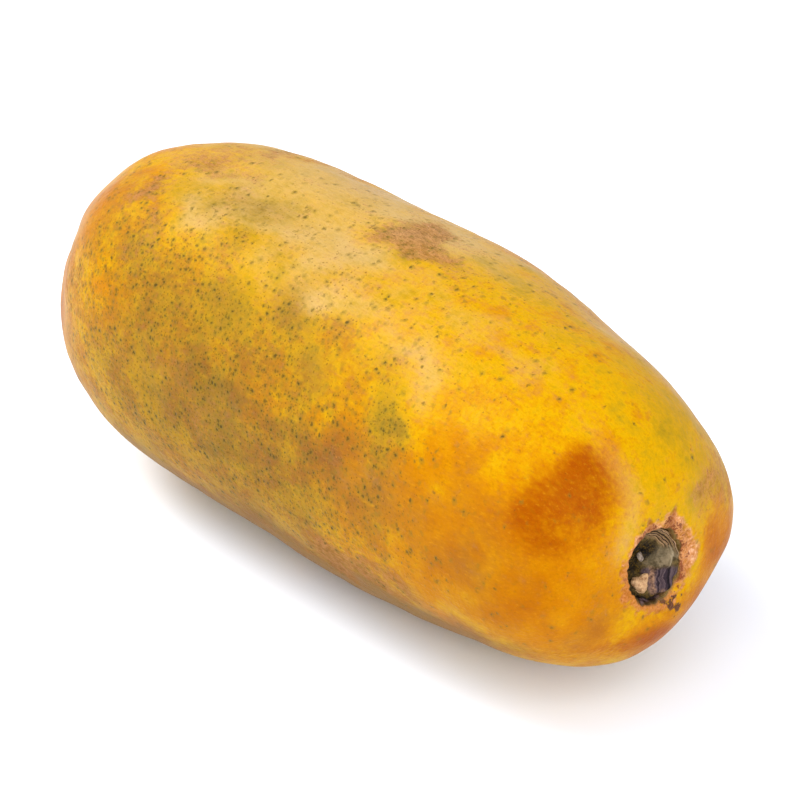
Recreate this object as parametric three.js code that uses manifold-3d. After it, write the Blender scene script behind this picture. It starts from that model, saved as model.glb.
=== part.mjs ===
// A ripe papaya, one long fruit lying on its side on a small flat spot, and the dry stump of its stalk
// in the hollow at the stem end.  Units are millimetres.  X runs from the blossom tip to the stem end,
// Z is up, and the origin is on the surface the fruit lies on, under the middle of its box.
import * as THREE from 'three';
import Module from 'manifold-3d';
import { mergeVertices } from 'three/addons/utils/BufferGeometryUtils.js';

const wasm = await Module();
wasm.setup();

// The fruit's main sizes.  "along" is -1 at the blossom tip, 0 at mid length and 1 at the stem end.
// Angles go round the fruit from +Y, over the top at 90 degrees.
const LENGTH = 270;
const RADIUS = 58.5; // at mid length
const BLOSSOM_BLUNTNESS = 2.9; // superellipse exponent of an end: 2 is an egg, more is blunter
const STEM_BLUNTNESS = 3.1;
const TAPER = [-0.08, -0.05, 0.115]; // change of radius with along, its square and its cube
const BOW_Y = [6.5, -12, -1.5]; // sideways bow of the middle line, in the same three powers
const BOW_Z = [-2, 4.7, 0]; // its bow upwards
const FLAT_DEPTH = 1.5; // how far the underside is pressed flat

// Five soft lobes, one for each carpel, faint at mid length and clearer towards the two ends.
const LOBES = 5;
const LOBE_ANGLE = -3;
const LOBE_DEPTH = 0.004; // part of the radius
const LOBE_DEPTH_AT_ENDS = 0.012; // what is added towards an end
const LOBES_GROW_TO_BLOSSOM = { from: 0, to: 0.9 }; // distances from mid length
const LOBES_GROW_TO_STEM = { from: 0.35, to: 0.95 };

// Swellings and dents of the flesh: place along and round the fruit, their spreads (a part of the half
// length, degrees) and their heights.
const SWELLINGS = [
  { along: 0.93, angle: 13, reach: 0.12, spread: 35, height: 3 }, // far cheek of the stem end
  { along: 0.93, angle: 348, reach: 0.1, spread: 16, height: 1.8 },
  { along: 0.96, angle: 324, reach: 0.12, spread: 35, height: 2 }, // jowl below it
  { along: 0.88, angle: 262, reach: 0.15, spread: 30, height: 1.3 },
  { along: 0.62, angle: 236, reach: 0.22, spread: 32, height: -1.8 }, // waist below the near flank
  { along: 0.2, angle: 232, reach: 0.25, spread: 32, height: 0.3 },
  { along: -0.25, angle: 231, reach: 0.25, spread: 32, height: -0.8 },
  { along: -0.62, angle: 222, reach: 0.2, spread: 32, height: 1.3 }, // belly by the blossom end
  { along: -0.86, angle: 180, reach: 0.14, spread: 36, height: -3.5 }, // flattened blossom shoulder
  { along: -0.92, angle: 135, reach: 0.12, spread: 36, height: -3.6 },
  { along: -0.93, angle: 152, reach: 0.1, spread: 20, height: -2.6 },
  { along: -0.82, angle: 205, reach: 0.12, spread: 20, height: 1.2 }, // belly under the shoulder
  { along: -0.83, angle: 88, reach: 0.12, spread: 26, height: 1.8 }, // brow over the blossom end
  { along: -0.62, angle: 62, reach: 0.18, spread: 26, height: 1.4 },
  { along: -0.2, angle: 50, reach: 0.22, spread: 30, height: -1.4 }, // saddle on the far flank
  { along: 0.2, angle: 48, reach: 0.22, spread: 30, height: 0.8 },
  { along: 0.52, angle: 44, reach: 0.18, spread: 30, height: -1.9 }, // far flank falls in to the stem
  { along: 0.78, angle: 35, reach: 0.14, spread: 30, height: -0.6 },
  { along: -0.3, angle: 104, reach: 0.3, spread: 11, height: -2.2 }, // groove between two lobes on top
  { along: -0.15, angle: 122, reach: 0.5, spread: 13, height: 1.2 }, // crest beside the groove
];
const SWELLING_FADE = 30; // below this radius a swelling shrinks with the fruit

// The hollow at the stem end, its outline an egg round a centre beside the fruit's own axis.
const HOLLOW_OFFSET = { y: 1.7, z: -2.4 };
const RIM_RADIUS = 11.4;
const RIM_WAVES = [
  { times: 1, angle: 74, height: 0.7 },
  { times: 2, angle: 102, height: 1.5 },
  { times: 3, angle: 51, height: 0.3 },
];
const DISH = { depth: 2.2, radius: 16 }; // shallow sinking of the skin round the hollow
const RIM_BLEND = { from: 32, to: 15 }; // radii between which round sections turn into the rim's egg
// From the collar over the lip and down to the floor: parts of the rim's outline, and depths.
const HOLLOW_PROFILE = [
  { scale: 1.22, depth: 0 },
  { scale: 1.12, depth: 0 },
  { scale: 1.05, depth: 0.2 },
  { scale: 1, depth: 0.8 },
  { scale: 0.965, depth: 1.8 },
  { scale: 0.94, depth: 3.6 },
  { scale: 0.92, depth: 6.5 },
  { scale: 0.88, depth: 9.5 },
  { scale: 0.78, depth: 11.3 },
  { scale: 0.6, depth: 12 },
  { scale: 0.3, depth: 12 },
];
const HOLLOW_DEPTH = 12;

// The blossom tip: a small dimple with the dried nub of the flower in it.
const DIMPLE = { depth: 1.8, radius: 8 };
const NUB = { height: 1.4, radius: 2.4 };
const TIP_RAYS = [0.012, 0.03]; // close stations that shape the nub, in radians off the axis

// The stump: a withered cup that fills the hollow, deepest low on the near side.
const STUMP_GAP = 0.4; // clear of the hollow all round
const STUMP_DEEPEST = { y: -2.6, z: -0.8, depth: 8.8 };
const STUMP_EDGE = { depth: 4, rise: 2, angle: 20 }; // its edge stands highest at this angle
const STUMP_FOOT_DEPTH = 11; // where its side turns under to the base
const STUMP_SIDE_PARTS = [0, 0.35, 0.7]; // of the way from the foot up to the edge
const STUMP_BASE_SCALES = [0.3, 0.55]; // parts of the rim's outline
const STUMP_CUP_POWER = 1.2; // 1 is a plain cone, more is rounder
const STUMP_PLATE = { y: 5, z: -0.5, radius: 4, height: 2 }; // the thick dry tissue on the far side
const PITH_KNOBS = [ // a pale three-lobed knob low in the cup, and a small one at its middle
  { y: -2.5, z: -5.6, depth: 5.6, radius: 2.3 },
  { y: 0.6, z: -5.3, depth: 5.4, radius: 2.1 },
  { y: -1, z: -7.4, depth: 5.8, radius: 2.4 },
  { y: 0.6, z: 1, depth: 7, radius: 1.5 },
];

const ROUND_STEPS = 60;
const LENGTH_STEPS = 54;
const STUMP_RINGS = 9;
const KNOB_STEPS = 14; // round a knob, and from pole to pole two thirds of it
const COLLAR_SPACE = 1; // between the last station of the body and the collar
const WELD = 1e-4; // points closer than this are one

const HALF = LENGTH / 2;
const radians = THREE.MathUtils.degToRad;
const { lerp, smoothstep } = THREE.MathUtils;
const power = (terms, along) => terms[0] * along + terms[1] * along ** 2 + terms[2] * along ** 3;
const bell = (distance, width) => Math.exp(-((distance / width) ** 2));

// Radius of the smooth body, before lobes and swellings.
function girth(along) {
  const bluntness = along < 0 ? BLOSSOM_BLUNTNESS : STEM_BLUNTNESS;
  const end = Math.max(0, 1 - Math.abs(along) ** bluntness) ** (1 / bluntness);
  return RADIUS * (1 + power(TAPER, along)) * end;
}

// Radius with the lobes and swellings.
function fleshRadius(along, angle) {
  const toBlossom = smoothstep(-along, LOBES_GROW_TO_BLOSSOM.from, LOBES_GROW_TO_BLOSSOM.to);
  const toStem = smoothstep(along, LOBES_GROW_TO_STEM.from, LOBES_GROW_TO_STEM.to);
  const toEnds = toBlossom + toStem;
  const lobe = (LOBE_DEPTH + LOBE_DEPTH_AT_ENDS * toEnds) * Math.cos(LOBES * (angle - radians(LOBE_ANGLE)));
  const fade = Math.min(1, girth(along) / SWELLING_FADE);
  let radius = girth(along) * (1 + lobe);
  for (const swelling of SWELLINGS) {
    const past = angle - radians(swelling.angle);
    const turn = THREE.MathUtils.euclideanModulo(past + Math.PI, 2 * Math.PI) - Math.PI;
    const lengthwise = bell(along - swelling.along, swelling.reach);
    radius += fade * swelling.height * lengthwise * bell(turn, radians(swelling.spread));
  }
  return radius;
}

function rimRadius(angle) {
  let radius = RIM_RADIUS;
  for (const wave of RIM_WAVES) {
    radius += wave.height * Math.cos(wave.times * (angle - radians(wave.angle)));
  }
  return radius;
}

// A point of the egg-shaped rings round the hollow, at a part of the rim's outline.
function hollowPoint(x, scale, angle) {
  const radius = scale * rimRadius(angle);
  const y = power(BOW_Y, 1) + HOLLOW_OFFSET.y + radius * Math.cos(angle);
  const z = power(BOW_Z, 1) + HOLLOW_OFFSET.z + radius * Math.sin(angle);
  return new THREE.Vector3(x, y, z);
}

// X of the blunt stem end at a distance from its axis.
function stemFaceX(radius) {
  const edge = RADIUS * (1 + power(TAPER, 1));
  const along = (1 - (radius / edge) ** STEM_BLUNTNESS) ** (1 / STEM_BLUNTNESS);
  return HALF * along - DISH.depth * bell(radius, DISH.radius);
}
const RIM_X = stemFaceX(RIM_RADIUS);

function fleshPoint(along, angle) {
  const radius = fleshRadius(along, angle);
  const section = girth(along);
  if (along < 0) {
    const tip = DIMPLE.depth * bell(section, DIMPLE.radius) - NUB.height * bell(section, NUB.radius);
    const y = power(BOW_Y, along) + radius * Math.cos(angle);
    return new THREE.Vector3(HALF * along + tip, y, power(BOW_Z, along) + radius * Math.sin(angle));
  }
  const x = HALF * along - DISH.depth * bell(section, DISH.radius);
  const round = new THREE.Vector3(x, power(BOW_Y, along), power(BOW_Z, along));
  round.y += radius * Math.cos(angle);
  round.z += radius * Math.sin(angle);
  const toRim = 1 - smoothstep(section, RIM_BLEND.to, RIM_BLEND.from);
  return round.lerp(hollowPoint(x, section / RIM_RADIUS, angle), toRim);
}

// A ring of points, one for each step round.
function ring(pointAt) {
  return Array.from({ length: ROUND_STEPS }, (_, step) => pointAt((step * 2 * Math.PI) / ROUND_STEPS));
}

// A closed surface from rings in order, with a point that closes each end.
function ringSurface(first, rings, last) {
  const points = [first, ...rings.flat(), last];
  const faces = [];
  const end = points.length - 1;
  for (let step = 0; step < ROUND_STEPS; step += 1) {
    const next = (step + 1) % ROUND_STEPS;
    faces.push(0, 1 + next, 1 + step);
    for (let row = 0; row < rings.length - 1; row += 1) {
      const here = 1 + row * ROUND_STEPS;
      const there = here + ROUND_STEPS;
      faces.push(here + step, here + next, there + next, here + step, there + next, there + step);
    }
    const lastRow = end - ROUND_STEPS;
    faces.push(lastRow + step, lastRow + next, end);
  }
  const geometry = new THREE.BufferGeometry().setFromPoints(points);
  geometry.setIndex(faces);
  return geometry;
}

// The stations follow rays from the middle at even angles, so they lie closer where an end turns in.
function alongAtRay(ray) {
  const bluntness = ray < Math.PI / 2 ? BLOSSOM_BLUNTNESS : STEM_BLUNTNESS;
  const reach = Math.abs(Math.cos(ray)) ** bluntness + Math.sin(ray) ** bluntness;
  return -Math.cos(ray) / reach ** (1 / bluntness);
}

function fruitGeometry() {
  const rays = Array.from({ length: LENGTH_STEPS - 1 }, (_, step) => ((step + 1) * Math.PI) / LENGTH_STEPS);
  const stations = [...TIP_RAYS, ...rays].map(alongAtRay);
  const collar = HOLLOW_PROFILE[0].scale * RIM_RADIUS;
  const body = stations.filter((along) => along < 0 || girth(along) > collar + COLLAR_SPACE);
  const rings = body.map((along) => ring((angle) => fleshPoint(along, angle)));
  for (const { scale, depth } of HOLLOW_PROFILE) {
    const x = stemFaceX(Math.max(scale, 1) * RIM_RADIUS) - depth;
    rings.push(ring((angle) => hollowPoint(x, scale, angle)));
  }
  const geometry = ringSurface(fleshPoint(-1, 0), rings, hollowPoint(RIM_X - HOLLOW_DEPTH, 0, 0));
  pressFlat(geometry);
  return geometry;
}

// The underside is pressed flat where the weight of the fruit bears on it.
function pressFlat(geometry) {
  geometry.computeBoundingBox();
  const level = geometry.boundingBox.min.z + FLAT_DEPTH;
  const position = geometry.attributes.position;
  for (let index = 0; index < position.count; index += 1) {
    position.setZ(index, Math.max(level, position.getZ(index)));
  }
  geometry.computeBoundingBox();
}

// Part of the rim's outline that the hollow's wall has at a depth.
function wallScale(depth) {
  const below = HOLLOW_PROFILE.findIndex((station) => station.depth >= depth);
  const [upper, lower] = [HOLLOW_PROFILE[below - 1], HOLLOW_PROFILE[below]];
  return lerp(upper.scale, lower.scale, (depth - upper.depth) / (lower.depth - upper.depth));
}

// The stump's outline at a depth: the wall's, less the gap.
function stumpScale(depth, angle) {
  return wallScale(depth) - STUMP_GAP / rimRadius(angle);
}

function stumpEdgeDepth(angle) {
  return STUMP_EDGE.depth - STUMP_EDGE.rise * Math.cos(angle - radians(STUMP_EDGE.angle));
}

// A point of the stump's side, at a part of the way from its foot up to its edge.
function stumpSidePoint(part, angle) {
  const depth = lerp(STUMP_FOOT_DEPTH, stumpEdgeDepth(angle), part);
  return hollowPoint(RIM_X - depth, stumpScale(depth, angle), angle);
}

// A point of the stump's cupped face, at a part of the way from its deepest point out to its edge.
function cupPoint(part, angle) {
  const edgeDepth = stumpEdgeDepth(angle);
  const edge = stumpScale(edgeDepth, angle) * rimRadius(angle);
  const y = lerp(STUMP_DEEPEST.y, edge * Math.cos(angle), part);
  const z = lerp(STUMP_DEEPEST.z, edge * Math.sin(angle), part);
  const cone = lerp(STUMP_DEEPEST.depth, edgeDepth, part ** STUMP_CUP_POWER);
  const plate = bell(Math.hypot(y - STUMP_PLATE.y, z - STUMP_PLATE.z), STUMP_PLATE.radius);
  const point = hollowPoint(RIM_X - cone + STUMP_PLATE.height * plate * (1 - part ** 3), 0, 0);
  return point.add(new THREE.Vector3(0, y, z));
}

function toManifold(geometry) {
  const bare = geometry.clone();
  bare.deleteAttribute('normal');
  bare.deleteAttribute('uv');
  const merged = mergeVertices(bare, WELD);
  const vertProperties = new Float32Array(merged.attributes.position.array);
  const triVerts = new Uint32Array(merged.index.array);
  return new wasm.Manifold(new wasm.Mesh({ numProp: 3, vertProperties, triVerts }));
}

function fromManifold(solid) {
  const mesh = solid.getMesh();
  const geometry = new THREE.BufferGeometry();
  geometry.setAttribute('position', new THREE.BufferAttribute(mesh.vertProperties, mesh.numProp));
  geometry.setIndex(new THREE.BufferAttribute(mesh.triVerts, 1));
  return geometry;
}

function stumpGeometry() {
  const baseX = RIM_X - HOLLOW_DEPTH + STUMP_GAP;
  const rings = STUMP_BASE_SCALES.map((scale) => ring((angle) => hollowPoint(baseX, scale, angle)));
  for (const part of STUMP_SIDE_PARTS) {
    rings.push(ring((angle) => stumpSidePoint(part, angle)));
  }
  for (let row = STUMP_RINGS; row > 0; row -= 1) {
    rings.push(ring((angle) => cupPoint(row / STUMP_RINGS, angle)));
  }
  const cup = ringSurface(hollowPoint(baseX, 0, 0), rings, cupPoint(0, 0));
  const solids = [toManifold(cup)];
  for (const knob of PITH_KNOBS) {
    const ball = new THREE.SphereGeometry(knob.radius, KNOB_STEPS, Math.round((KNOB_STEPS * 2) / 3));
    const centre = hollowPoint(RIM_X - knob.depth, 0, 0);
    ball.translate(centre.x, centre.y + knob.y, centre.z + knob.z);
    solids.push(toManifold(ball));
  }
  return fromManifold(solids.reduce((whole, solid) => whole.add(solid)));
}

function namedMesh(name, geometry, colour, roughness) {
  const material = new THREE.MeshStandardMaterial({ color: colour, roughness, metalness: 0 });
  geometry.computeVertexNormals();
  const mesh = new THREE.Mesh(geometry, material);
  mesh.name = name;
  return mesh;
}

const fruit = namedMesh('fruit', fruitGeometry(), '#e3a021', 0.42);
const stump = namedMesh('stem_stump', stumpGeometry(), '#5b5342', 0.75);

const papaya = new THREE.Group();
papaya.add(fruit, stump);
const box = new THREE.Box3().setFromObject(papaya);
papaya.position.set(-(box.min.x + box.max.x) / 2, -(box.min.y + box.max.y) / 2, -box.min.z);

export default papaya;
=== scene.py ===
"""A ripe papaya lying on its side, with the dry stump of its stalk in the hollow at the stem end.

The scene is in metres in the part's own frame: X runs from the blossom tip to the stem end, Z is up.
The sizes of the fruit and its pieces are written in millimetres, and MM turns them into metres.
"""

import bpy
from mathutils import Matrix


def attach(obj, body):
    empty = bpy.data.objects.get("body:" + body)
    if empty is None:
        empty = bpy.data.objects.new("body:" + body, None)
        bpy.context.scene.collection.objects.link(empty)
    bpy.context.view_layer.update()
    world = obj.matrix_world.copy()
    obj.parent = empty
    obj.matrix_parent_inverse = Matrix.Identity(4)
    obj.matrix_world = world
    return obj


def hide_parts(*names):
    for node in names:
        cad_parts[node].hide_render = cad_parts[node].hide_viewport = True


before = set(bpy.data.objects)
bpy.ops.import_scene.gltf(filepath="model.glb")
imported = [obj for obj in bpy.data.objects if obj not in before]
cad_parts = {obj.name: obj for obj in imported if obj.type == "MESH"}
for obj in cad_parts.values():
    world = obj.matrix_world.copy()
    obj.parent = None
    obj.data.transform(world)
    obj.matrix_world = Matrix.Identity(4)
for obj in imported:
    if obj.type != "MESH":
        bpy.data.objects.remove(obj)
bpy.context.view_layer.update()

import math

import bpy
import numpy as np
from mathutils import Matrix, Vector

# ---------------------------------------------------------------------------------------------------
# Skin.  One grown piece: a thin waxy skin over soft flesh, with five faint lobes, a nub where the flower
# sat, and at the stem end a hollow with a corky collar where the stalk grew.  It ripens from green
# through yellow to orange in patches, with bruises, scuffs and the dark specks of its pores.
# ---------------------------------------------------------------------------------------------------
MM = 0.001
HALF = 135.0  # half the length
RADIUS = 58.5
BLOSSOM_BLUNTNESS, STEM_BLUNTNESS = 2.9, 3.1
TAPER = (-0.08, -0.05, 0.115)
BOW_Y = (6.5, -12.0, -1.5)
BOW_Z = (-2.0, 4.7, 0.0)
MIDDLE = (0.58341, 1.62216, 57.11122)  # where the middle of the fruit lies in the part's frame
LOBES, LOBE_ANGLE, LOBE_DEPTH, LOBE_DEPTH_AT_ENDS = 5, -3, 0.004, 0.012
LOBES_TO_BLOSSOM, LOBES_TO_STEM = (0, 0.9), (0.35, 0.95)  # the stretches over which the lobes deepen
SWELLINGS = (  # along, angle, reach, spread in degrees, height
    (0.93, 13, 0.12, 35, 3), (0.93, 348, 0.1, 16, 1.8), (0.96, 324, 0.12, 35, 2),
    (0.88, 262, 0.15, 30, 1.3), (0.62, 236, 0.22, 32, -1.8), (0.2, 232, 0.25, 32, 0.3),
    (-0.25, 231, 0.25, 32, -0.8), (-0.62, 222, 0.2, 32, 1.3), (-0.86, 180, 0.14, 36, -3.5),
    (-0.92, 135, 0.12, 36, -3.6), (-0.93, 152, 0.1, 20, -2.6), (-0.82, 205, 0.12, 20, 1.2),
    (-0.83, 88, 0.12, 26, 1.8), (-0.62, 62, 0.18, 26, 1.4), (-0.2, 50, 0.22, 30, -1.4),
    (0.2, 48, 0.22, 30, 0.8), (0.52, 44, 0.18, 30, -1.9), (0.78, 35, 0.14, 30, -0.6),
    (-0.3, 104, 0.3, 11, -2.2), (-0.15, 122, 0.5, 13, 1.2),
)
SWELLING_FADE = 30.0  # the girth under which a swelling dies away
RIM_RADIUS = 11.4
RIM_WAVES = ((1, 74, 0.7), (2, 102, 1.5), (3, 51, 0.3))  # waves round the rim, angle, height
RIM_SHIFT_Y, RIM_SHIFT_Z = 1.7, -2.4
RIM_BLEND = (15, 32)  # the girths between which the fruit's outline turns into the rim's
DISH_DEPTH, DISH_RADIUS = 2.2, 16.0
DIMPLE_DEPTH, DIMPLE_RADIUS = 1.8, 8.0
NUB_HEIGHT, NUB_RADIUS = 1.4, 2.4
SHOULDER_FROM, SHOULDER_PULL = 132.6, 0.35  # the X past which the shoulder is eased back, and its share
HOLLOW_SCALES = (1.22, 1.12, 1.05, 1.0, 0.965, 0.94, 0.92, 0.88, 0.78, 0.6, 0.3, 0.02)
HOLLOW_DEPTHS = (0.0, 0.0, 0.2, 0.8, 1.8, 3.6, 6.5, 9.5, 11.3, 12.0, 12.0, 12.0)
ROUND_STEPS, BODY_STEPS, SHOULDER_STEPS, HOLLOW_STEPS = 348, 164, 46, 44
BODY_RAYS, SHOULDER_RAYS = (0.006, 2.86), (2.866, math.pi)  # radians from the blossom tip's axis
ROW_GAP = 0.3  # between the body's last row and the first one of the hollow


def ease(value, low, high):
    """Rises smoothly from 0 at low to 1 at high: 3 s^2 - 2 s^3 of the clamped part of the way."""
    part = np.clip((value - low) / (high - low), 0, 1)
    return part * part * (3 - 2 * part)


def bell(distance, width):
    """exp(-(distance / width)^2)."""
    return np.exp(-((distance / width) ** 2))


def turned(angle, centre):
    """The angle from a centre given in degrees, from -pi to pi."""
    return (angle - math.radians(centre) + math.pi) % (2 * math.pi) - math.pi


def powers(terms, along):
    """terms[0] a + terms[1] a^2 + terms[2] a^3 of the place along, -1 at the blossom and 1 at the stem."""
    return terms[0] * along + terms[1] * along**2 + terms[2] * along**3


def girth(along):
    """Radius of a superellipse, (1 - |a|^n)^(1/n), with its taper."""
    bluntness = np.where(along < 0, BLOSSOM_BLUNTNESS, STEM_BLUNTNESS)
    end = np.clip(1 - np.abs(along) ** bluntness, 0, 1) ** (1 / bluntness)
    return RADIUS * (1 + powers(TAPER, along)) * end


def flesh_radius(along, angle):
    """The girth times a five-fold cosine wave, plus a bell along and round the fruit for each swelling."""
    ends = ease(-along, *LOBES_TO_BLOSSOM) + ease(along, *LOBES_TO_STEM)
    wave = np.cos(LOBES * (angle - math.radians(LOBE_ANGLE)))
    radius = girth(along) * (1 + (LOBE_DEPTH + LOBE_DEPTH_AT_ENDS * ends) * wave)
    fade = np.minimum(1, girth(along) / SWELLING_FADE)
    for place, centre, reach, spread, height in SWELLINGS:
        swelling = bell(along - place, reach) * bell(turned(angle, centre), math.radians(spread))
        radius = radius + fade * height * swelling
    return radius


def rim_radius(angle):
    """A round rim with three cosine waves on it, which make it an egg."""
    return RIM_RADIUS + sum(h * np.cos(n * (angle - math.radians(a))) for n, a, h in RIM_WAVES)


RIM_Y = powers(BOW_Y, 1) + RIM_SHIFT_Y
RIM_Z = powers(BOW_Z, 1) + RIM_SHIFT_Z


def stem_face(radius):
    """X of the blunt stem end at a distance from its axis: the superellipse less a bell-shaped dish."""
    edge = RADIUS * (1 + powers(TAPER, 1))
    along = (1 - (radius / edge) ** STEM_BLUNTNESS) ** (1 / STEM_BLUNTNESS)
    return HALF * along - DISH_DEPTH * bell(radius, DISH_RADIUS)


def skin_point(along, angle):
    """Points round the bowed middle line at the flesh radius, turning into the rim's egg at the stem end."""
    section = girth(along)
    radius = flesh_radius(along, angle)
    tip = DIMPLE_DEPTH * bell(section, DIMPLE_RADIUS) - NUB_HEIGHT * bell(section, NUB_RADIUS)
    x = HALF * along + np.where(along < 0, tip, -DISH_DEPTH * bell(section, DISH_RADIUS))
    to_rim = np.where(along > 0, 1 - ease(section, *RIM_BLEND), 0)
    rim = section / RIM_RADIUS * rim_radius(angle)
    body_y = powers(BOW_Y, along) + radius * np.cos(angle)
    body_z = powers(BOW_Z, along) + radius * np.sin(angle)
    y = (1 - to_rim) * body_y + to_rim * (RIM_Y + rim * np.cos(angle))
    z = (1 - to_rim) * body_z + to_rim * (RIM_Z + rim * np.sin(angle))
    return np.stack(np.broadcast_arrays(x, y, z), -1)


def ripples(points, seed, size, count=28):
    """A smooth random field with a spread of 1: a sum of seeded plane waves, each about a size long."""
    dice = np.random.default_rng(seed)
    heading = dice.normal(size=(count, 3))
    length = np.linalg.norm(heading, axis=1)[:, None]
    heading *= 2 * math.pi / size * dice.uniform(0.6, 1.6, (count, 1)) / length
    phase = dice.uniform(0, 2 * math.pi, count)
    return math.sqrt(2 / count) * np.cos(points @ heading.T + phase).sum(-1)


def outward(rows):
    """Unit normals of a grid of points: the cross product of its differences round and along it."""
    along = np.gradient(rows, axis=0)
    round_it = np.roll(rows, -1, axis=1) - np.roll(rows, 1, axis=1)
    normal = np.cross(round_it, along)
    return normal / (np.linalg.norm(normal, axis=-1, keepdims=True) + 1e-9)


# rows of points: even rays from the middle of the fruit, closer ones over the stem shoulder, then the hollow
rays = np.concatenate([np.linspace(*BODY_RAYS, BODY_STEPS), np.linspace(*SHOULDER_RAYS, SHOULDER_STEPS)])
bluntness = np.where(rays < math.pi / 2, BLOSSOM_BLUNTNESS, STEM_BLUNTNESS)
alongs = -np.cos(rays) / (np.abs(np.cos(rays)) ** bluntness + np.sin(rays) ** bluntness) ** (1 / bluntness)
alongs = alongs[(alongs < 0) | (girth(alongs) > HOLLOW_SCALES[0] * RIM_RADIUS + ROW_GAP)]
angles = np.arange(ROUND_STEPS) * 2 * math.pi / ROUND_STEPS
body = skin_point(alongs[:, None], angles[None])
stations = np.linspace(0, len(HOLLOW_SCALES) - 1, HOLLOW_STEPS)
scales = np.interp(stations, np.arange(len(HOLLOW_SCALES)), HOLLOW_SCALES)[:, None]
depths = np.interp(stations, np.arange(len(HOLLOW_DEPTHS)), HOLLOW_DEPTHS)[:, None]
egg = scales * rim_radius(angles[None])
hollow_x = stem_face(np.maximum(scales, 1) * RIM_RADIUS) - depths
hollow_y, hollow_z = RIM_Y + egg * np.cos(angles), RIM_Z + egg * np.sin(angles)
skin_rows = np.concatenate([body, np.stack(np.broadcast_arrays(hollow_x, hollow_y, hollow_z), -1)])
along = np.concatenate([alongs, np.ones(HOLLOW_STEPS)])[:, None] + 0 * angles
angle = angles + 0 * along
depth = np.concatenate([np.full((len(alongs), 1), -1.0), depths])  # below the collar; -1 on the body

# the skin's marks, as tables of places: along, angle, reach, spread in degrees, strength
BASE_RIPENESS = 0.58
RIPENESS = (
    (-0.34, 110, 0.24, 9, -0.12), (-0.3, 118, 0.45, 26, -0.05), (-0.05, 104, 0.2, 10, -0.07),
    (-0.25, 88, 0.3, 9, -0.08), (-0.6, 124, 0.1, 12, 0.08), (-0.72, 122, 0.1, 24, 0.12),
    (-0.2, 140, 0.4, 18, -0.03), (-0.07, 163, 0.1, 6, -0.15), (-0.07, 184, 0.18, 7, -0.11),
    (-0.3, 188, 0.4, 12, 0.04), (0.05, 197, 0.4, 14, -0.02), (0.45, 149, 0.1, 9, -0.34),
    (0.3, 147, 0.2, 12, 0.07), (0.15, 175, 0.3, 14, 0.04), (0.7, 178, 0.2, 16, 0.07),
    (0.3, 74, 0.09, 7, -0.2), (0.72, 152, 0.24, 22, 0.13), (0.6, 186, 0.34, 26, 0.12),
    (0.92, 190, 0.14, 40, 0.18), (0.93, 66, 0.11, 30, -0.08), (-0.45, 205, 0.3, 14, -0.02),
    (0.4, 232, 0.2, 16, -0.1), (-0.62, 150, 0.12, 14, 0.07), (-0.85, 160, 0.1, 60, 0.12),
    (-0.1, 165, 0.5, 18, 0.07), (0.1, 20, 0.3, 26, -0.2), (0.55, 350, 0.2, 30, 0.14),
    (-0.5, 340, 0.3, 30, -0.24), (0.2, 285, 0.4, 24, 0.12), (-0.35, 262, 0.25, 24, -0.26),
    (-0.75, 20, 0.2, 40, 0.16), (-0.6, 300, 0.2, 26, 0.12), (0.55, 300, 0.25, 18, -0.1),
    (-0.1, 325, 0.16, 16, -0.14), (-0.9, 220, 0.14, 60, 0.14), (0.3, 46, 0.2, 12, 0.1),
    (-0.6, 120, 0.1, 20, 0.05), (-0.4, 145, 0.14, 18, 0.05), (0.4, 160, 0.17, 12, 0.1),
    (0.62, 142, 0.2, 9, 0.05), (0.25, 168, 0.2, 12, 0.06),
)
VEIL = (  # a dull brown cast, with painted shade on the lower flank, the underside and the blossom end
    (-0.2, 138, 0.5, 18, 0.5), (-0.1, 162, 0.5, 14, 0.75), (-0.25, 186, 0.55, 16, 0.65),
    (-0.1, 213, 0.8, 15, 1.0), (0.1, 194, 0.3, 12, 0.2), (0.5, 220, 0.35, 10, 0.5),
    (-0.1, 226, 0.8, 12, 0.8), (0.5, 226, 0.4, 12, 0.6), (0.28, 168, 0.2, 12, 0.5),
    (-0.38, 104, 0.14, 9, 0.6), (-0.2, 110, 0.12, 7, 0.25), (0, 103, 0.14, 9, 0.3),
    (-0.4, 150, 0.14, 24, 0.25), (-0.1, 178, 0.4, 15, 0.25), (-0.1, 142, 0.5, 11, 0.2),
    (0.45, 149, 0.09, 9, 0.75), (0.6, 174, 0.28, 16, 0.4), (-0.06, 164, 0.1, 6, 0.2),
    (-0.08, 183, 0.16, 5, 0.25), (0.83, 150, 0.08, 9, 0.3), (0, 125, 0.2, 9, 0.25),
    (-0.6, 120, 0.1, 22, 0.4), (0.15, 136, 0.18, 8, 0.35), (-0.1, 78, 0.34, 12, 0.2),
    (-0.86, 150, 0.1, 50, 0.4), (0.1, 250, 0.6, 24, 0.5), (0.2, 330, 0.4, 26, 0.4),
    (-0.55, 20, 0.3, 24, 0.45), (0.55, 30, 0.24, 16, 0.3), (-0.6, 285, 0.3, 22, 0.4),
)
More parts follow.
